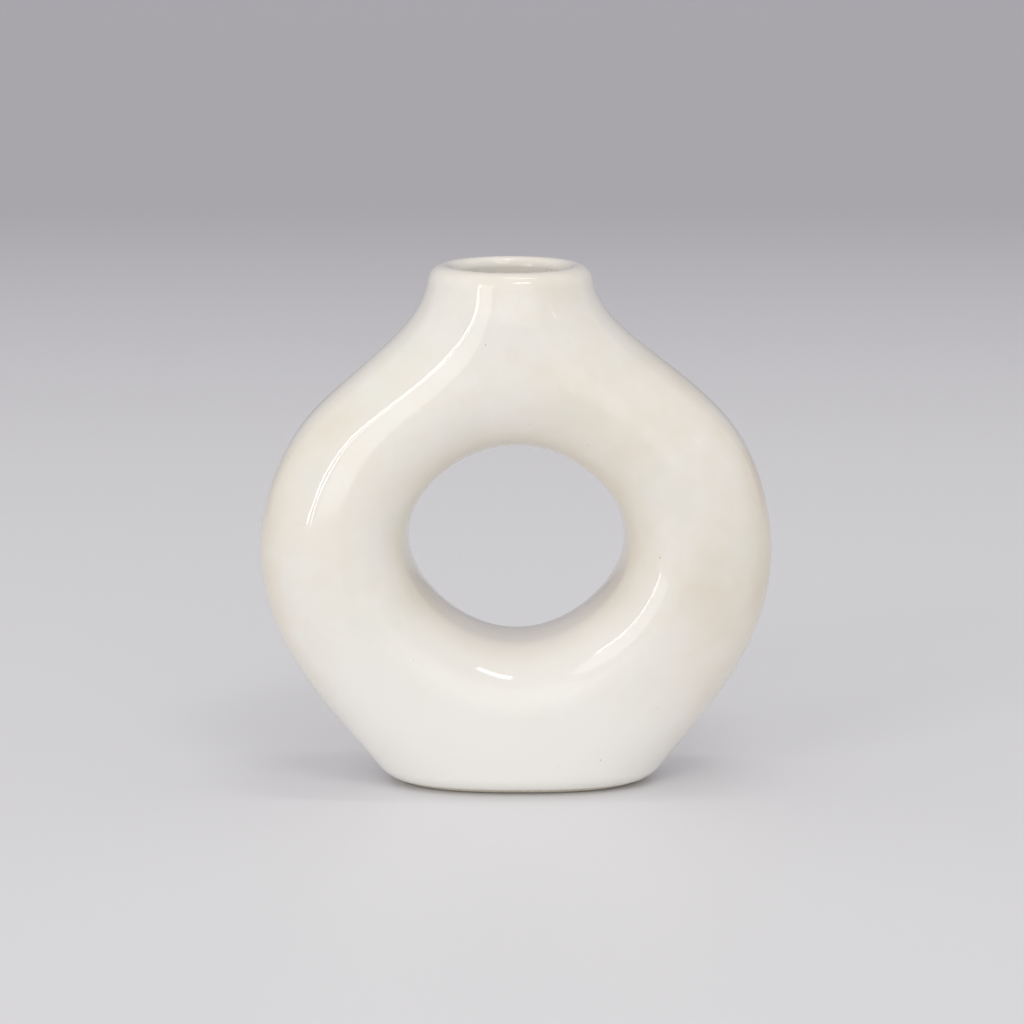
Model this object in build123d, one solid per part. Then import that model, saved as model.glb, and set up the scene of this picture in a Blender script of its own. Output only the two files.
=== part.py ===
from build123d import *
import math
import os

# Donut vase: a slip-cast, hollow ring with a short round neck, glazed inside and out.
# The origin is the middle of the foot, on the surface it stands on; +Z is up and the
# ring faces -Y. All sizes are millimetres. Outside sizes are taken over the glaze.

# ---- driving dimensions --------------------------------------------------------------

# whole vase
vase_height = 122.8

# the outline at each level, from the foot to the rim
foot_width = 61.0
foot_depth = 33.6
flank_width = 105.4
flank_depth = 40.6
belly_width = 120.0
belly_depth = 42.0
shoulder_width = 107.2
shoulder_depth = 42.0
slope_width = 86.8
slope_depth = 41.4
collar_width = 56.4
collar_depth = 40.8
neck_diameter = 43.0
rim_diameter = 37.8

# how high each level stands, as a share of the vase's height
flank_share = 0.244
belly_share = 0.464
shoulder_share = 0.651
slope_share = 0.757
collar_share = 0.863
neck_share = 0.920

# how square each outline is: 0 is an ellipse, 1 is nearly a rounded box, and less than 0
# is drawn in at its four corners
foot_fullness = 0.30
belly_fullness = 0.95
shoulder_fullness = 0.70
slope_fullness = 0.40
hole_fullness = -0.20

# the casting isn't quite upright: these parts lie to one side of the middle of the belly
foot_shift = 1.0
flank_shift = 0.5
shoulder_shift = 0.3
slope_shift = 0.4
collar_shift = -0.4
neck_shift = -1.2

# the hole through the ring, its centre a little above the widest level
hole_width = 50.4
hole_height = 45.6
hole_lift = 1.4
hole_shift = 0.2
hole_flare = 5.0
hole_edge_radius = 13.0

# edges
foot_edge_radius = 4.4
lip_outer_radius = 3.4
lip_inner_radius = 2.2
floor_corner_radius = 4.0
throat_corner_radius = 1.4

# the mouth
mouth_diameter = 25.8
throat_length = 6.0

# clay and glaze
wall = 4.8
floor_thickness = 5.5
glaze = 0.35
dry_foot_height = 1.6

# how far a form runs on past the plane that cuts it level
overrun = 6.0
tunnel_overrun = 2.0
# how far an edge may stray from a level and still lie in it
level_slack = 0.01

# the curve of an outline: its handles for an ellipse, and how far they move as it fills out
side_pull = 0.628
side_pull_gain = 0.60
crown_reach = 0.507
crown_reach_gain = 0.25
crown_total = 3.2


# ---- the outside form ----------------------------------------------------------------

class Level:
    """One horizontal outline of the vase, centred on shift, and how square it is."""

    def __init__(self, height, width, depth, fullness=0.0, shift=0.0):
        self.height = height
        self.half_width = width / 2
        self.half_depth = depth / 2
        self.fullness = fullness
        self.shift = shift


belly_height = belly_share * vase_height
hole_centre_height = belly_height + hole_lift


def levels():
    """The outlines from below the foot to above the rim."""
    foot = Level(0, foot_width, foot_depth, foot_fullness, foot_shift)
    flank = Level(
        flank_share * vase_height, flank_width, flank_depth, belly_fullness, flank_shift
    )
    belly = Level(belly_height, belly_width, belly_depth, belly_fullness)
    shoulder = Level(
        shoulder_share * vase_height,
        shoulder_width,
        shoulder_depth,
        shoulder_fullness,
        shoulder_shift,
    )
    slope = Level(
        slope_share * vase_height, slope_width, slope_depth, slope_fullness, slope_shift
    )
    collar = Level(collar_share * vase_height, collar_width, collar_depth, 0, collar_shift)
    neck = Level(neck_share * vase_height, neck_diameter, neck_diameter, 0, neck_shift)
    rim = Level(vase_height, rim_diameter, rim_diameter, 0, neck_shift)
    # the flank and the neck run straight on past the foot and the rim
    taper = (flank_width - foot_width) / flank.height
    below = Level(-overrun, foot_width - overrun * taper, foot_depth, foot_fullness, foot_shift)
    above = Level(vase_height + overrun, rim_diameter, rim_diameter, 0, neck_shift)
    return [below, foot, flank, belly, shoulder, slope, collar, neck, rim, above]


def outline(plane, half_width, half_depth, fullness):
    """Closed outline on a plane: a front and a back arch, square to the seams where they meet."""
    pull = side_pull + side_pull_gain * fullness
    reach = crown_reach + crown_reach_gain * fullness
    # the crown's handles stand so high that the middle of the curve reaches half_depth
    crown_pull = (crown_total - pull) / 2
    handles = [
        (-1, 0),
        (-1, pull),
        (-reach, crown_pull),
        (reach, crown_pull),
        (1, pull),
        (1, 0),
    ]
    arches = []
    for side in (-1, 1):
        points = [
            plane.from_local_coords((half_width * x, side * half_depth * y))
            for x, y in handles
        ]
        arches.append(Bezier(*points[:: -side]))
    return Wire(arches)


def bottle(inset):
    """The vase without its hole, drawn in by inset square to its flanks."""
    outlines = []
    stack = levels()
    for index, level in enumerate(stack):
        lower = stack[max(index - 1, 0)]
        upper = stack[min(index + 1, len(stack) - 1)]
        rise = upper.height - lower.height
        spread = upper.half_width - lower.half_width
        slant = math.hypot(rise, spread)
        half_width = level.half_width - inset * rise / slant
        height = level.height + inset * spread / slant
        plane = Plane(origin=(level.shift, 0, height))
        outlines.append(outline(plane, half_width, level.half_depth - inset, level.fullness))
    return Solid.make_loft(outlines)


def tunnel(inset):
    """The hole through the ring: a narrow-shouldered oval, waisted half-way through."""
    reach = belly_depth / 2 + tunnel_overrun
    rings = []
    for y, flare in ((-reach, hole_flare), (0, 0), (reach, hole_flare)):
        half_width = hole_width / 2 + flare + inset
        half_height = hole_height / 2 + flare + inset
        centre = (hole_shift, y, hole_centre_height)
        plane = Plane(origin=centre, x_dir=(1, 0, 0), z_dir=(0, -1, 0))
        rings.append(outline(plane, half_width, half_height, hole_fullness))
    return Solid.make_loft(rings)


def slab(bottom, top):
    """Everything between two levels."""
    size = 2 * belly_width
    return Pos(0, 0, bottom) * Box(size, size, top - bottom, align=(Align.CENTER, Align.CENTER, Align.MIN))


def ring_form(inset, bottom, top):
    """The ring with its hole, cut level at bottom and top, the hole's edges rounded over."""
    blank = bottle(inset) & slab(bottom, top)
    cutter = tunnel(inset)
    ring = blank - cutter
    hole_edges = new_edges(blank, cutter, combined=ring)
    return fillet(hole_edges, hole_edge_radius - inset)


def level_edges(body, height):
    """The edges that lie flat at one height."""
    return body.edges().filter_by_position(Axis.Z, height - level_slack, height + level_slack)


def vase_block(inset):
    """The vase as a solid block: ring, rounded foot and rounded lip, with no mouth yet."""
    top = vase_height - inset
    block = ring_form(inset, 0, top)
    block = fillet(level_edges(block, 0), foot_edge_radius)
    return fillet(level_edges(block, top), lip_outer_radius - inset)


# ---- the mouth and the space inside --------------------------------------------------

throat_top = vase_height - lip_inner_radius
throat_bottom = throat_top - throat_length


def mouth(inset):
    """Cutter for the mouth above the throat, opened out by the rounded edge of the lip."""
    top = vase_height - inset
    radius = mouth_diameter / 2 + inset
    with BuildSketch(Plane.XZ) as half:
        with BuildLine():
            Line((0, throat_top), (radius, throat_top))
            lip = TangentArc((radius, throat_top), (radius + top - throat_top, top), tangent=(0, 1))
            Polyline(lip @ 1, (lip @ 1) + (0, overrun), (0, top + overrun), (0, throat_top))
        make_face()
    return Pos(neck_shift, 0, 0) * revolve(half.sketch, Axis.Z)


def hollow(coat):
    """The space inside, up to the top of the throat, left by a coat of glaze on the clay."""
    ceiling = throat_bottom - coat
    bottom = floor_thickness + coat
    space = ring_form(glaze + wall + coat, bottom, ceiling)
    space = fillet(level_edges(space, bottom), floor_corner_radius - coat)
    space = fillet(level_edges(space, ceiling), throat_corner_radius)
    radius = mouth_diameter / 2 + glaze - coat
    throat = Cylinder(radius, throat_top - ceiling + overrun, align=(Align.CENTER, Align.CENTER, Align.MAX))
    return space + Pos(neck_shift, 0, throat_top) * throat


# ---- the pieces ----------------------------------------------------------------------

def make_clay_body():
    """The fired clay: one hollow casting, bare on the foot."""
    return vase_block(glaze) - mouth(glaze) - hollow(0)


def make_outer_glaze():
    """The glass coat from just above the foot, up and over the lip to the throat."""
    coat = (vase_block(0) - mouth(0)) - (vase_block(glaze) - mouth(glaze))
    return coat & slab(dry_foot_height, vase_height + overrun)


def make_liner_glaze():
    """The glass coat down the throat and all round the inside of the ring."""
    return hollow(0) - hollow(glaze)


pieces = {
    "clay_body": make_clay_body(),
    "outer_glaze": make_outer_glaze(),
    "liner_glaze": make_liner_glaze(),
}

os.makedirs("parts", exist_ok=True)
for name, piece in pieces.items():
    piece.label = name
    export_step(piece, f"parts/{name}.step")
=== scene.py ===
import math

import bmesh
import bpy
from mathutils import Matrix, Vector


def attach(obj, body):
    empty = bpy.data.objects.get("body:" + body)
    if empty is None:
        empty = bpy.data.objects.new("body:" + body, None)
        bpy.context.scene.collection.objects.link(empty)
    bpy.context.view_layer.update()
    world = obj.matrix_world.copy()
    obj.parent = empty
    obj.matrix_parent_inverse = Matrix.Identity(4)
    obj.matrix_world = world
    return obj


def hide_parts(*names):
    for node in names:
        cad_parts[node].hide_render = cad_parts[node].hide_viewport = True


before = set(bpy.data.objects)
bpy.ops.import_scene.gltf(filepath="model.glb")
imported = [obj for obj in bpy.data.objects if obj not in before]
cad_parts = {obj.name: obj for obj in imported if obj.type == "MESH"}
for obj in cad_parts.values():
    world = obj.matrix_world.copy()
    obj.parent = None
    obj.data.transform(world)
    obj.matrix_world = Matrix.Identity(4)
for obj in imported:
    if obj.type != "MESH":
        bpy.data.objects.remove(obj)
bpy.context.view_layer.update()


# ---- clay casting --------------------------------------------------------------------
# The vase itself: one hollow ring of fired clay, slip-cast in a two-part plaster mould,
# with a short round neck and a flat foot. Glaze covers all of it but the wiped foot.

millimetre = 0.001

# sizes in millimetres, over the glaze
vase_sizes = {
    "Height": 122.8,
    "Neck shift": -1.2,
    "Shoulder shift": 0.4,
    "Foot shift": 1.0,
    "Hole width": 50.3,
    "Hole height": 45.6,
    "Hole centre": 58.4,
    "Hole shift": 0.2,
    "Hole pinch": 0.026,
    "Hole egg": 0.02,
    "Hole flare": 5.0,
    "Hole edge": 13.0,
    "Foot edge": 4.2,
    "Lip outer edge": 3.4,
    "Lip inner edge": 2.2,
    "Mouth radius": 12.9,
    "Throat length": 6.0,
    "Wall": 4.8,
    "Floor": 5.5,
    "Floor corner": 4.0,
    "Glaze": 0.35,
    "Unevenness": 0.10,
}
# the heights between which the casting leans over to each of its shifts
foot_lean = (58, 0)
shoulder_lean = (62, 84)
neck_lean = (94, 117)
# how far from its waist the hole has opened out by the whole of its flare
flare_depth = 23.0
# the mouth is cut down to here, where the hollow has taken over
mouth_cut_bottom = 108
# how far the throat runs on into the hollow
throat_overlap = 2

# the outlines that draw the form, from one spacing below the foot to above the rim:
# half width, half depth and squareness of each
outline_spacing = 12.5
outlines = [
    (22.38, 16.0, 2.30),
    (30.45, 16.3, 2.25),
    (40.44, 19.1, 2.63),
    (49.90, 20.1, 3.05),
    (56.75, 20.6, 3.25),
    (59.89, 21.0, 3.30),
    (59.95, 21.0, 3.20),
    (56.60, 20.9, 3.00),
    (49.85, 20.8, 2.75),
    (34.70, 20.7, 2.05),
    (19.55, 20.6, 2.00),
    (18.32, 20.6, 2.00),
    (21.21, 20.6, 2.00),
]
outline_names = [f"Outline {number}" for number in range(len(outlines))]


def feed(tree, slot, value):
    """Links a measure or socket to a slot, or sets the slot to a plain value."""
    if isinstance(value, Measure):
        tree.links.new(value.socket, slot)
    elif isinstance(value, bpy.types.NodeSocket):
        tree.links.new(value, slot)
    else:
        slot.default_value = value


def add_node(tree, kind, settings=None, **inputs):
    """A node with its settings and inputs, each input's name written with _ for a space."""
    node = tree.nodes.new(kind)
    for name, value in (settings or {}).items():
        setattr(node, name, value)
    for name, value in inputs.items():
        feed(tree, node.inputs[name.replace("_", " ")], value)
    return node


def work_out(tree, operation, *terms):
    """The measure that a Math node gives from measures and plain numbers."""
    node = add_node(tree, "ShaderNodeMath", {"operation": operation})
    for slot, term in zip(node.inputs, terms):
        feed(tree, slot, term)
    return Measure(tree, node.outputs[0])


class Measure:
    """A number that a node tree works out, written here as plain sums."""

    def __init__(self, tree, socket):
        self.tree = tree
        self.socket = socket

    def __add__(self, other):
        return work_out(self.tree, "ADD", self, other)

    def __sub__(self, other):
        return work_out(self.tree, "SUBTRACT", self, other)

    def __rsub__(self, other):
        return work_out(self.tree, "SUBTRACT", other, self)

    def __mul__(self, other):
        return work_out(self.tree, "MULTIPLY", self, other)

    def __truediv__(self, other):
        return work_out(self.tree, "DIVIDE", self, other)

    def __rtruediv__(self, other):
        return work_out(self.tree, "DIVIDE", other, self)

    def __pow__(self, other):
        return work_out(self.tree, "POWER", self, other)

    def __neg__(self):
        return self * -1

    def __abs__(self):
        return work_out(self.tree, "ABSOLUTE", self)

    def at_least(self, other):
        return work_out(self.tree, "MAXIMUM", self, other)

    def at_most(self, other):
        return work_out(self.tree, "MINIMUM", self, other)

    def root(self):
        return work_out(self.tree, "SQRT", self)

    def ease(self, start, end):
        """Rises smoothly from 0 to 1 as the measure goes from start to end."""
        node = add_node(
            self.tree, "ShaderNodeMapRange", {"interpolation_type": "SMOOTHSTEP"},
            Value=self, From_Min=start, From_Max=end,
        )
        return Measure(self.tree, node.outputs["Result"])


def split(tree, vector):
    """The three parts of a vector as measures."""
    node = add_node(tree, "ShaderNodeSeparateXYZ", Vector=vector)
    return [Measure(tree, socket) for socket in node.outputs]


def join(tree, x, y, z):
    """The vector with these three parts."""
    return add_node(tree, "ShaderNodeCombineXYZ", X=x, Y=y, Z=z).outputs[0]


def new_tree(name, numbers=(), vectors=(), geometry=False, result="NodeSocketFloat"):
    """A node tree with named inputs, and those inputs as measures and sockets."""
    tree = bpy.data.node_groups.new(name, "GeometryNodeTree")
    interface = tree.interface
    if geometry:
        interface.new_socket("Geometry", in_out="INPUT", socket_type="NodeSocketGeometry")
    for label in vectors:
        interface.new_socket(label, in_out="INPUT", socket_type="NodeSocketVector")
    for label in numbers:
        interface.new_socket(label, in_out="INPUT", socket_type="NodeSocketFloat")
    interface.new_socket("Result", in_out="OUTPUT", socket_type=result)
    entry = tree.nodes.new("NodeGroupInput")
    given = {label: Measure(tree, entry.outputs[label]) for label in numbers}
    given.update({label: entry.outputs[label] for label in vectors})
    return tree, given


def finish_tree(tree, value):
    """Sends a value out of a tree."""
    feed(tree, tree.nodes.new("NodeGroupOutput").inputs[0], value)


def use_tree(tree, group, given):
    """What a group gives when it is used inside a tree, fed by name."""
    node = add_node(tree, "GeometryNodeGroup", {"node_tree": group})
    for label, value in given.items():
        if label in node.inputs:
            feed(tree, node.inputs[label], value)
    return node.outputs[0]


def make_outline_tree():
    """One outline of the form at any height: half width, half depth and squareness."""
    tree, given = new_tree(
        "vase outline", ["Height here"], outline_names, result="NodeSocketVector"
    )
    total = (0.0, 0.0, 0.0)
    for number, label in enumerate(outline_names):
        # an outline counts within two spacings of its height, by the weights of a smooth
        # cubic spline
        height = (number - 1) * outline_spacing
        steps = abs((given["Height here"] - height) / outline_spacing)
        share = ((2 - steps).at_least(0) ** 3 - (1 - steps).at_least(0) ** 3 * 4) / 6
        part = add_node(
            tree, "ShaderNodeVectorMath", {"operation": "SCALE"},
            Vector=given[label], Scale=share,
        )
        adding = add_node(tree, "ShaderNodeVectorMath", {"operation": "ADD"})
        feed(tree, adding.inputs[0], total)
        feed(tree, adding.inputs[1], part.outputs[0])
        total = adding.outputs[0]
    finish_tree(tree, total)
    return tree


outline_tree = make_outline_tree()


def outline_at(tree, given, height):
    """Half width, half depth and squareness; the neck is never deeper than it is wide."""
    neck_blend = 3.0
    levels = {label: given[label] for label in outline_names}
    here = use_tree(tree, outline_tree, {"Height here": height, **levels})
    half_width, half_depth, squareness = split(tree, here)
    half_depth = work_out(tree, "SMOOTH_MIN", half_depth, half_width, neck_blend)
    return half_width, half_depth, squareness


def rounded(one, other, radius):
    """Distance to what lies inside both of two forms, with their edge rounded over."""
    flat = one.at_least(other).at_most(-radius)
    turn = ((one + radius).at_least(0) ** 2 + (other + radius).at_least(0) ** 2).root()
    return flat + turn


def make_ring_distance():
    """How far a point is outside the ring, its neck and its foot not yet cut level."""
    tree, given = new_tree("ring distance", list(vase_sizes), ["Place", *outline_names])
    x, y, z = split(tree, given["Place"])
    # what is divided by is kept above these
    least_share = 0.02
    least_slope = 1e-4

    # the casting leans: neck, belly and foot each lie a little to one side
    middle = (
        given["Foot shift"] * z.ease(*foot_lean)
        + given["Shoulder shift"] * z.ease(*shoulder_lean)
        + (given["Neck shift"] - given["Shoulder shift"]) * z.ease(*neck_lean)
    )

    # the flank, its slope taken from two outlines a millimetre apart
    half_step = 0.5
    wide, deep, square = outline_at(tree, given, z)
    wide_low, deep_low, _ = outline_at(tree, given, z - half_step)
    wide_high, deep_high, _ = outline_at(tree, given, z + half_step)
    wide_share = (abs(x - middle) / wide).at_least(least_share)
    deep_share = (abs(y) / deep).at_least(least_share)
    across = wide_share ** square
    along = deep_share ** square
    size = across + along
    climb = across * (wide_high - wide_low) / wide + along * (deep_high - deep_low) / deep
    slopes = (across / wide_share / wide) ** 2 + (along / deep_share / deep) ** 2 + climb ** 2
    flank = size * (1 - size ** -(square ** -1)) / slopes.root()

    # the hole: an oval tunnel, waisted half-way through
    flare = given["Hole flare"] * (y / flare_depth) ** 2
    half_width = given["Hole width"] * 0.5 + flare
    half_height = given["Hole height"] * 0.5 + flare
    lift = (z - given["Hole centre"]) / half_height
    side = (x - given["Hole shift"]) / (half_width * (lift * given["Hole egg"] + 1))
    reach = (side ** 2 + lift ** 2).root().at_least(least_share)
    slopes = (side / half_width) ** 2 + (lift / half_height) ** 2
    steep = slopes.root().at_least(least_slope)
    diagonal = (side * lift * 2 / reach ** 2) ** 2
    tunnel = reach * (reach * (diagonal * given["Hole pinch"] + 1) - 1) / steep
    form = rounded(flank, -tunnel, given["Hole edge"])

    # the plaster and the sponge leave it very slightly uneven
    noise = add_node(
        tree, "ShaderNodeTexNoise", {"noise_dimensions": "3D"},
        Vector=given["Place"], Scale=0.028, Detail=0.0, Roughness=0.4,
    )
    uneven = Measure(tree, noise.outputs["Fac"]) - 0.5
    finish_tree(tree, form + uneven * given["Unevenness"] * 2)
    return tree


ring_distance = make_ring_distance()


def new_distance_tree(name):
    """A tree that will say how far a place is outside a form, less a coat of glaze."""
    return new_tree(name, ["Coat", *vase_sizes], ["Place", *outline_names])


def neck_radius(given, x, y):
    """How far a point is from the middle line of the neck."""
    return ((x - given["Neck shift"]) ** 2 + y ** 2).root()


def make_outside_distance():
    """How far a point is outside the vase with its foot and lip, less a coat."""
    tree, given = new_distance_tree("outside distance")
    x, y, z = split(tree, given["Place"])
    coat = given["Coat"]
    ring = Measure(tree, use_tree(tree, ring_distance, given)) + coat
    standing = rounded(ring, -z, given["Foot edge"])
    topped = rounded(standing, z - given["Height"] + coat, given["Lip outer edge"] - coat)
    bore = given["Mouth radius"] + coat - neck_radius(given, x, y)
    well = bore.at_most(z - mouth_cut_bottom)
    finish_tree(tree, rounded(topped, well, given["Lip inner edge"] + coat))
    return tree


def make_hollow_distance():
    """How far a point is outside the space in the vase, less a coat inside it."""
    tree, given = new_distance_tree("hollow distance")
    x, y, z = split(tree, given["Place"])
    coat = given["Coat"]
    inset = given["Wall"] + given["Glaze"] + coat
    ring = Measure(tree, use_tree(tree, ring_distance, given)) + inset
    ceiling = given["Height"] - given["Lip inner edge"] - given["Throat length"] - coat
    room = rounded(ring, given["Floor"] + coat - z, given["Floor corner"] - coat)
    room = rounded(room, z - ceiling, given["Lip inner edge"])
    bore = neck_radius(given, x, y) - given["Mouth radius"] - given["Glaze"] + coat
    throat = bore.at_least(ceiling - throat_overlap - z)
    throat_edge = given["Lip inner edge"] * 0.5
    finish_tree(tree, -rounded(-room, -throat, throat_edge))
    return tree


outside_distance = make_outside_distance()
hollow_distance = make_hollow_distance()


def make_casting_distance():
    """How far a point is outside the clay: the outside form less the space in it."""
    tree, given = new_distance_tree("casting distance")
    outside = use_tree(tree, outside_distance, {**given, "Coat": given["Glaze"]})
    hollow = use_tree(tree, hollow_distance, {**given, "Coat": 0.0})
    finish_tree(tree, Measure(tree, outside).at_least(-Measure(tree, hollow)))
    return tree


def make_casting_tree(name, distance, material):
    """A mesh drawn where a distance is nought: cast in a grid, then settled on the form."""
    numbers = ["Grid", "Coat", *vase_sizes]
    tree, given = new_tree(
        name, numbers, outline_names, geometry=True, result="NodeSocketGeometry"
    )
    place = tree.nodes.new("GeometryNodeInputPosition").outputs[0]

    def distance_at(spot):
        return Measure(tree, use_tree(tree, distance, {**given, "Place": spot}))

    def settle(geometry):
        """Moves each point along the slope of the distance until it lies on the form."""
        nudge = 0.06
        least_slope_squared = 0.05
        longest_stride = given["Grid"] * 0.7
        x, y, z = split(tree, place)
        here = distance_at(place)
        nudged = (
            join(tree, x + nudge, y, z),
            join(tree, x, y + nudge, z),
            join(tree, x, y, z + nudge),
        )
        slope = [(distance_at(spot) - here) / nudge for spot in nudged]
        steep = slope[0] ** 2 + slope[1] ** 2 + slope[2] ** 2
        move = here / steep.at_least(least_slope_squared)
        move = move.at_most(longest_stride).at_least(-longest_stride)
        offset = join(tree, *[-(part * move) for part in slope])
        return add_node(
            tree, "GeometryNodeSetPosition", Geometry=geometry, Offset=offset
        ).outputs[0]

    def relax(geometry, rounds):
        """Evens out the spacing of the points."""
        blur = add_node(
            tree, "GeometryNodeBlurAttribute", {"data_type": "FLOAT_VECTOR"}, Iterations=rounds
        )
        value = next(slot for slot in blur.inputs if slot.name == "Value" and slot.enabled)
        feed(tree, value, place)
        spread = next(socket for socket in blur.outputs if socket.enabled)
        return add_node(
            tree, "GeometryNodeSetPosition", Geometry=geometry, Position=spread
        ).outputs[0]

    # in a box round the vase, the density is half on the form, and falls from 1 to 0
    # across a band four grid cells wide
    box_low = (-64.0, -25.0, -4.0)
    box_high = (64.0, 25.0, 127.0)
    on_form = 0.5
    band = given["Grid"] * 4
    density = (on_form - distance_at(place) / band).at_least(0).at_most(1)
    cube = add_node(
        tree, "GeometryNodeVolumeCube", Density=density, Min=box_low, Max=box_high
    )
    for axis, start, end in zip("XYZ", box_low, box_high):
        feed(tree, cube.inputs[f"Resolution {axis}"], (end - start) / given["Grid"] + 1)
    shell = add_node(
        tree, "GeometryNodeVolumeToMesh", {"resolution_mode": "GRID"},
        Volume=cube.outputs[0], Threshold=on_form, Adaptivity=0.0,
    ).outputs[0]
    shell = settle(relax(settle(shell), 2))
    shell = settle(relax(shell, 1))
    shell = add_node(
        tree, "GeometryNodeSubdivisionSurface", Mesh=shell, Level=1
    ).outputs[0]
    shell = settle(settle(shell))

    # how sharply the form turns outwards at each point, from the distances a reach away
    # on both sides along each axis: the glaze material reads it
    reach = 5.0
    axes = split(tree, place)
    around = [
        join(tree, *(axis + step * side for axis, step in zip(axes, steps)))
        for steps in ((reach, 0, 0), (0, reach, 0), (0, 0, reach))
        for side in (-1, 1)
    ]
    bend = distance_at(around[0])
    for spot in around[1:]:
        bend = bend + distance_at(spot)
    bend = (bend - distance_at(place) * len(around)) / reach ** 2
    shell = add_node(
        tree, "GeometryNodeStoreNamedAttribute", {"data_type": "FLOAT", "domain": "POINT"},
        Geometry=shell, Name="turns_out", Value=bend,
    ).outputs[0]
    shell = add_node(
        tree, "GeometryNodeTransform", Geometry=shell, Scale=(millimetre,) * 3
    ).outputs[0]
    shell = add_node(tree, "GeometryNodeSetShadeSmooth", Geometry=shell).outputs[0]
    shell = add_node(tree, "GeometryNodeRealizeInstances", Geometry=shell).outputs[0]
    shell = add_node(
        tree, "GeometryNodeSetMaterial", Geometry=shell, Material=material
    ).outputs[0]
    finish_tree(tree, shell)
    return tree


def cast(name, distance, material, grid, coat):
    """A finished mesh of one coat or body, as a plain object in metres."""
    tree = make_casting_tree(f"{name} tree", distance, material)
    maker = bpy.data.objects.new(f"{name}_maker", bpy.data.meshes.new(f"{name}_maker"))
    bpy.context.collection.objects.link(maker)
    modifier = maker.modifiers.new(name, "NODES")
    modifier.node_group = tree
    values = {"Grid": grid, "Coat": coat, **vase_sizes, **dict(zip(outline_names, outlines))}
    for item in tree.interface.items_tree:
        if item.in_out == "INPUT" and item.name in values:
            modifier[item.identifier] = values[item.name]
    bpy.context.view_layer.update()
    graph = bpy.context.evaluated_depsgraph_get()
    mesh = bpy.data.meshes.new_from_object(maker.evaluated_get(graph))
    bpy.data.objects.remove(maker)
    mesh.name = name
    piece = bpy.data.objects.new(name, mesh)
    bpy.context.collection.objects.link(piece)
    return piece


def new_material(name, **finish):
    """A material of this finish, with its tree, its shader and the place on the piece."""
    material = bpy.data.materials.new(name)
    material.use_nodes = True
    tree = material.node_tree
    shader = tree.nodes["Principled BSDF"]
    for label, value in finish.items():
        shader.inputs[label.replace("_", " ")].default_value = value
    place = tree.nodes.new("ShaderNodeTexCoord").outputs["Object"]
    return material, tree, shader, place


def make_clay_material():
    """Fired clay: matt, pale and a little sandy."""
    deep_clay = (0.66, 0.60, 0.51, 1)
    pale_clay = (0.78, 0.73, 0.64, 1)
    material, tree, shader, place = new_material("fired_clay", Roughness=0.82)
    grain = add_node(tree, "ShaderNodeTexNoise", Vector=place, Scale=900.0, Detail=6.0)
    colour = add_node(tree, "ShaderNodeValToRGB", Fac=grain.outputs["Fac"])
    stops = colour.color_ramp.elements
    stops[0].position = 0.30
    stops[0].color = deep_clay
    stops[1].position = 0.70
    stops[1].color = pale_clay
    bump = add_node(
        tree, "ShaderNodeBump", Strength=0.4, Distance=0.0001, Height=grain.outputs["Fac"]
    )
    feed(tree, shader.inputs["Base Color"], colour.outputs["Color"])
    feed(tree, shader.inputs["Normal"], bump.outputs["Normal"])
    return material


clay_material = make_clay_material()
casting = cast("clay_casting", make_casting_distance(), clay_material, grid=2.1, coat=0.0)
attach(casting, "root")
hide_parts("clay_body")


# ---- liner glaze ---------------------------------------------------------------------
# The glass coat inside: poured in through the mouth, swirled round the ring and poured
# out again before the outside was dipped, so it covers the throat and all the hollow.

# colours of the glaze, from the milky body of it to where the clay shows through, with a paler
# cream for painted light and a warm tint that also serves as painted shade
milk = (0.860, 0.838, 0.785, 1)
cream = (0.838, 0.797, 0.712, 1)
ash = (0.808, 0.803, 0.728, 1)
# painted light: a paler cream laid on where the form falls into shade
painted_light_cream = (0.925, 0.910, 0.872, 1)
# warm tint of thin glaze, also used as painted shade on the walls of the hole
thin_glaze_and_shade = (0.700, 0.580, 0.430, 1)
speck = (0.30, 0.22, 0.15, 1)

# where its tints lie: each rises from nothing at the first number to its full share at
# the second. Heights above the table, in metres:
# painted light, paler towards the foot:
foot_painted_light = (0.052, 0.010)
above_foot = (0.003, 0.018)
below_neck = (0.108, 0.092)
# heights above the middle of the hole:
hole_floor = (-0.010, -0.020)
# distances from the middle of the hole:
outer_rim = (0.036, 0.044)
hole_walls = (0.033, 0.023)
sponged_ring = (0.037, 0.029)
# distances to the right:
warm_side = (0.002, 0.046)
# how sharply the form turns outwards, as one over millimetres:
turned_edge = (0.035, 0.110)
# levels of a soft random pattern about 0.5:
cream_patches = (0.42, 0.62)
ash_patches = (0.50, 0.68)
warm_patches = (0.15, 0.75)
# random numbers from 0 to 1, of which the first picks one cell in ten:
one_in_ten = (0.90, 0.91)
speck_strength = (0.0, 0.9)
# shares of a cell, from its middle:
speck_rim = (0.080, 0.035)
pit_rim = (0.10, 0.03)


def lay_over(tree, below, share, colour):
    """The colour below with another laid over it by a share of 0 to 1."""
    # a Mix node takes its two colours at slots 6 and 7, and gives theirs at socket 2
    node = add_node(tree, "ShaderNodeMix", {"data_type": "RGBA"}, Factor=share)
    feed(tree, node.inputs[6], below)
    feed(tree, node.inputs[7], colour)
    return node.outputs[2]


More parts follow.
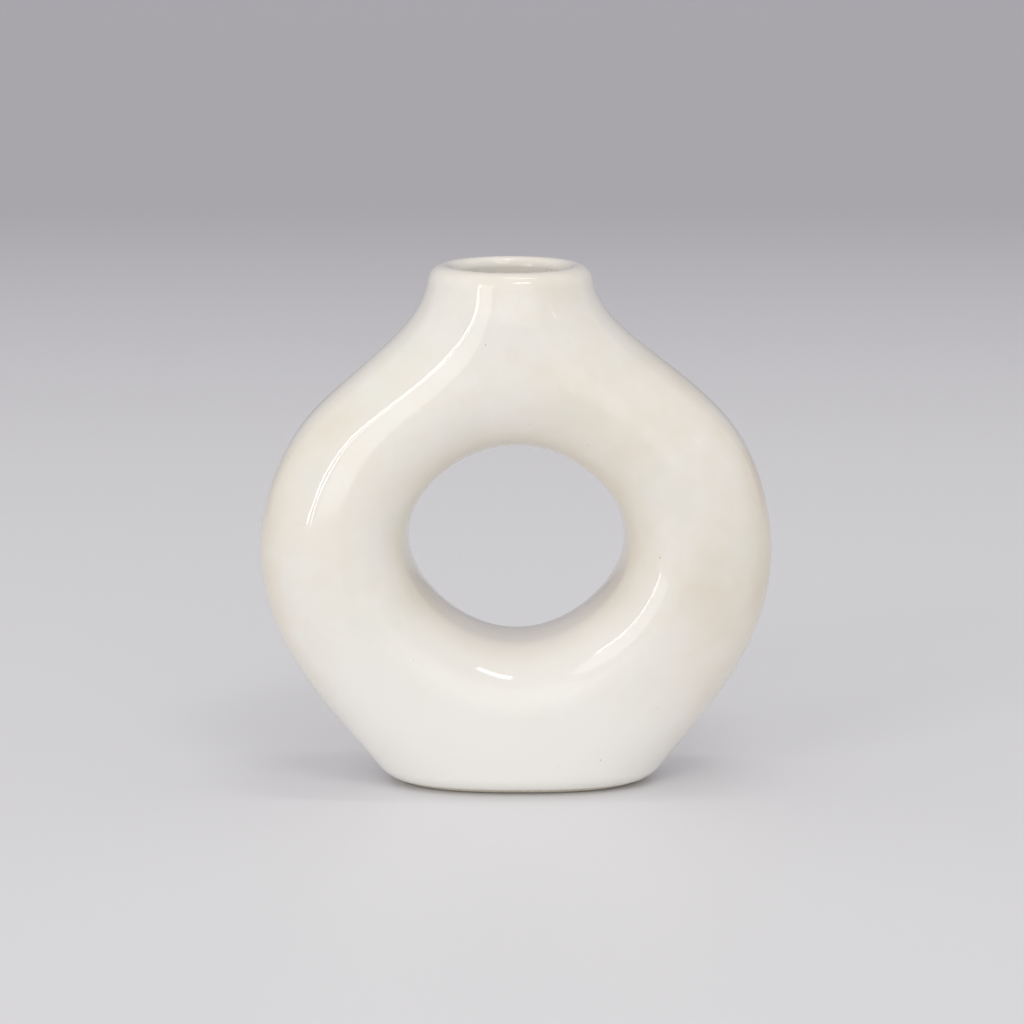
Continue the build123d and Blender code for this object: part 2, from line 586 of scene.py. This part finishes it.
def make_glaze_material():
    """Gloss cream-white glaze, softly mottled, warm where it runs thin over the clay, with
    painted light towards the foot and on the floor of the hole and painted shade on the hole's
    walls.
    """
    material, tree, shader, place = new_material(
        "cream_glaze", Roughness=0.32, Specular_IOR_Level=0.15,
        Coat_Weight=1.0, Coat_Roughness=0.035, Coat_IOR=1.5,
    )

    def noise(scale, detail, roughness=0.5):
        """A soft random pattern about 0.5, finer as its scale is larger."""
        node = add_node(
            tree, "ShaderNodeTexNoise", Vector=place, Scale=scale, Detail=detail,
            Roughness=roughness,
        )
        return Measure(tree, node.outputs["Fac"])

    x, y, z = split(tree, place)
    across = x - vase_sizes["Hole shift"] * millimetre
    up = z - vase_sizes["Hole centre"] * millimetre
    radius = (across ** 2 + up ** 2).root()
    turns_out = add_node(tree, "ShaderNodeAttribute", {"attribute_name": "turns_out"})
    bend = Measure(tree, turns_out.outputs["Fac"])

    # the body of the glaze is milky, with soft patches of cream and ash
    mottle = noise(38.0, 3.0, 0.55)
    cloud = noise(170.0, 4.0, 0.6)
    patches = (mottle * 0.65 + cloud * 0.35).ease(*cream_patches)
    colour = lay_over(tree, milk, patches * 0.75, cream)
    colour = lay_over(tree, colour, noise(60.0, 2.0).ease(*ash_patches) * 0.6, ash)

    # towards the foot and on the floor of the hole a paler cream is painted light, lifting the
    # shade there;
    # the coat is thin along the outer edges of the ring; on the walls of the hole a warm tint
    # is painted shade of the hole as well as thinner glaze; towards the right side it is
    # warmer in patches
    sharp = (bend + (mottle - 0.5) * 0.10).ease(*turned_edge)
    edges = sharp * radius.ease(*outer_rim) * z.ease(*below_neck) * z.ease(*above_foot)
    walls = (radius + (mottle - 0.5) * 0.012).ease(*hole_walls)
    floor = up.ease(*hole_floor)
    # warmer towards the right side, in patches
    warmer_right = (x + up * 0.35).ease(*warm_side) * mottle.ease(*warm_patches)
    # painted light, paler towards the foot
    colour = lay_over(tree, colour, z.ease(*foot_painted_light) * 0.85, painted_light_cream)
    colour = lay_over(tree, colour, edges * 0.30, thin_glaze_and_shade)
    # painted light on the floor of the hole
    colour = lay_over(tree, colour, walls * floor * 0.80, painted_light_cream)
    # painted shade on the walls of the hole, also thinner glaze there
    colour = lay_over(tree, colour, walls * (1 - floor * 0.5) * 0.28, thin_glaze_and_shade)
    colour = lay_over(tree, colour, warmer_right * 0.36, thin_glaze_and_shade)

    # iron in the clay shows through in one cell of ten, as a tiny speck
    cells = add_node(
        tree, "ShaderNodeTexVoronoi", {"feature": "F1"},
        Vector=place, Scale=300.0, Randomness=1.0,
    )
    from_middle = Measure(tree, cells.outputs["Distance"])
    chance, strength, _ = split(tree, cells.outputs["Color"])
    few = chance.ease(*one_in_ten)
    dot = from_middle.ease(*speck_rim) * strength.ease(*speck_strength)
    colour = lay_over(tree, colour, dot * few * 0.75, speck)
    feed(tree, shader.inputs["Base Color"], colour)

    # the fired surface: faint waves, a pinhole here and there, and under the glaze the
    # strokes of the sponge that smoothed the clay, round and round the hole
    waves = noise(120.0, 2.0) + noise(700.0, 1.0) * 0.10
    pits = from_middle.ease(*pit_rim) * few
    drawn_out = 0.4
    drawn_in = 7.0
    slant = 0.7
    lane = (radius + y * slant) * drawn_in
    stroke = add_node(
        tree, "ShaderNodeTexNoise", Scale=110.0, Detail=2.0,
        Vector=join(tree, across * drawn_out, up * drawn_out, lane),
    )
    strokes = Measure(tree, stroke.outputs["Fac"]) * radius.ease(*sponged_ring)
    bump = add_node(
        tree, "ShaderNodeBump", Strength=0.35, Distance=0.00012,
        Height=waves + strokes * 0.7 - pits * 0.35,
    )
    feed(tree, shader.inputs["Normal"], bump.outputs["Normal"])
    feed(tree, shader.inputs["Coat Normal"], bump.outputs["Normal"])
    return material


glaze_material = make_glaze_material()


def is_in_neck(face):
    """Whether a face lies in the mouth, or on the lip within a small margin of it."""
    lip_margin = 1.6
    neck_foot = 100
    place = face.calc_center_median()
    radius = math.hypot(place.x - vase_sizes["Neck shift"] * millimetre, place.y)
    reach = (vase_sizes["Mouth radius"] + lip_margin) * millimetre
    return radius < reach and place.z > neck_foot * millimetre


def cut_level(piece, height, drop, only_in_neck=False):
    """Cuts a skin level at a height, and drops what lies above or below it."""
    mesh = bmesh.new()
    mesh.from_mesh(piece.data)
    faces = [face for face in mesh.faces if not only_in_neck or is_in_neck(face)]
    edges = {edge for face in faces for edge in face.edges}
    points = {point for face in faces for point in face.verts}
    bmesh.ops.bisect_plane(
        mesh, geom=[*faces, *edges, *points], dist=1e-6, clear_outer=True,
        plane_co=(0, 0, height * millimetre),
        plane_no=(0, 0, 1 if drop == "above" else -1),
    )
    mesh.to_mesh(piece.data)
    mesh.free()


def thicken(piece, thickness):
    """Gives a skin its thickness, inwards from the face that was drawn."""
    rim_angle = math.radians(50)
    shell = piece.modifiers.new("coat", "SOLIDIFY")
    shell.thickness = thickness * millimetre
    shell.offset = -1.0
    shell.use_even_offset = True
    bpy.context.view_layer.update()
    graph = bpy.context.evaluated_depsgraph_get()
    mesh = bpy.data.meshes.new_from_object(piece.evaluated_get(graph))
    mesh.set_sharp_from_angle(angle=rim_angle)
    piece.modifiers.clear()
    piece.data = mesh


throat_top = vase_sizes["Height"] - vase_sizes["Lip inner edge"]
liner = cast(
    "liner_glaze_coat", hollow_distance, glaze_material, grid=2.4, coat=vase_sizes["Glaze"]
)
cut_level(liner, throat_top, drop="above")
liner.data.flip_normals()
thicken(liner, vase_sizes["Glaze"])
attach(liner, "root")
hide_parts("liner_glaze")


# ---- outer glaze ---------------------------------------------------------------------
# The glass coat outside: the vase was dipped and its foot sponged clean, so the coat
# runs from a line just above the foot, up over the lip and down to the throat.

dry_foot_height = 1.6
coat = cast("outer_glaze_coat", outside_distance, glaze_material, grid=1.9, coat=0.0)
cut_level(coat, dry_foot_height, drop="below")
cut_level(coat, throat_top, drop="below", only_in_neck=True)
thicken(coat, vase_sizes["Glaze"])
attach(coat, "root")
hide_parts("outer_glaze")


# ---- table, light and camera ---------------------------------------------------------
# A plain pale table that runs up into a pale wall, window light from the left, and a
# camera a little above the rim, as in the photograph.

def make_table_material():
    """Pale and half matt, darker and a little lilac towards the wall."""
    near_shade = (0.785, 0.785, 0.81, 1)
    far_shade = (0.53, 0.515, 0.56, 1)
    fade_start = 0.2
    fade_end = 1.6
    material, tree, shader, place = new_material("table", Roughness=0.5)
    _, backwards, _ = split(tree, place)
    fade = backwards.ease(fade_start, fade_end)
    feed(tree, shader.inputs["Base Color"], lay_over(tree, near_shade, fade, far_shade))
    return material


def make_table():
    """A level table whose back turns up into a wall, as one smooth sheet."""
    half_width = 3.0
    front = -2.0
    bend_start = 1.2
    bend_radius = 0.8
    bend_steps = 12
    wall_top = 3.0
    profile = [(front, 0.0), (bend_start, 0.0)]
    for step in range(1, bend_steps + 1):
        angle = math.pi / 2 * step / bend_steps
        profile.append((
            bend_start + bend_radius * math.sin(angle),
            bend_radius * (1 - math.cos(angle)),
        ))
    profile.append((bend_start + bend_radius, wall_top))
    points = [(side * half_width, y, z) for y, z in profile for side in (-1, 1)]
    # each level of the profile gives two points, a left and a right one
    lefts = range(0, len(points) - 2, 2)
    faces = [(left, left + 1, left + 3, left + 2) for left in lefts]
    mesh = bpy.data.meshes.new("table")
    mesh.from_pydata(points, [], faces)
    mesh.shade_smooth()
    mesh.materials.append(make_table_material())
    table = bpy.data.objects.new("table", mesh)
    bpy.context.collection.objects.link(table)


make_table()

daylight = (1.0, 0.985, 0.96)
room_colour = (1.0, 0.99, 0.98, 1)
room_strength = 0.75
light_target = Vector((0, 0, 0.06))


def add_softbox(name, azimuth, elevation, width, height, radiance, distance=1.6):
    """A rectangular light that looks at the vase. Azimuth 0 is the camera's side."""
    light = bpy.data.lights.new(name, "AREA")
    light.shape = "RECTANGLE"
    light.size = width
    light.size_y = height
    light.energy = radiance * width * height * math.pi
    light.color = daylight
    lamp = bpy.data.objects.new(name, light)
    bpy.context.collection.objects.link(lamp)
    turn = math.radians(azimuth)
    lift = math.radians(elevation)
    away = Vector((
        math.sin(turn) * math.cos(lift),
        -math.cos(turn) * math.cos(lift),
        math.sin(lift),
    ))
    lamp.location = light_target + away * distance
    lamp.rotation_euler = (-away).to_track_quat("-Z", "Y").to_euler()


# a tall window on the left, as one broad dim pane and two narrow bright ones, then light
# from above, from a far window and from the rest of the room
add_softbox("window_pane", -33, 14, width=0.42, height=1.25, radiance=1.5)
add_softbox("window_gap", -45, 14, width=0.028, height=1.25, radiance=13.0)
add_softbox("window_slit", -42.5, 14, width=0.022, height=1.25, radiance=9.0)
add_softbox("skylight", 20, 53, width=0.50, height=0.13, radiance=9.0, distance=1.5)
add_softbox("ceiling_strip", 84, 83, width=0.04, height=0.56, radiance=20.0, distance=1.5)
add_softbox("far_window", 55, 22, width=0.03, height=0.11, radiance=3.0)
add_softbox("front_fill", 8, 18, width=1.4, height=0.9, radiance=0.42)

world = bpy.data.worlds.new("room")
world.use_nodes = True
backdrop = world.node_tree.nodes["Background"]
backdrop.inputs["Color"].default_value = room_colour
backdrop.inputs["Strength"].default_value = room_strength
bpy.context.scene.world = world
bpy.context.scene.view_settings.view_transform = "Standard"

# unturned, a camera looks straight down; turned up by 78.28 degrees, it looks 11.7
# degrees down
camera_place = (-0.00085, -0.7336, 0.2167)
camera_turn_up = math.radians(78.28)
camera = bpy.data.objects.new("camera", bpy.data.cameras.new("camera"))
bpy.context.collection.objects.link(camera)
camera.data.sensor_width = 36.0
camera.data.lens = 112.5
camera.location = camera_place
camera.rotation_euler = (camera_turn_up, 0.0, 0.0)
bpy.context.scene.camera = camera
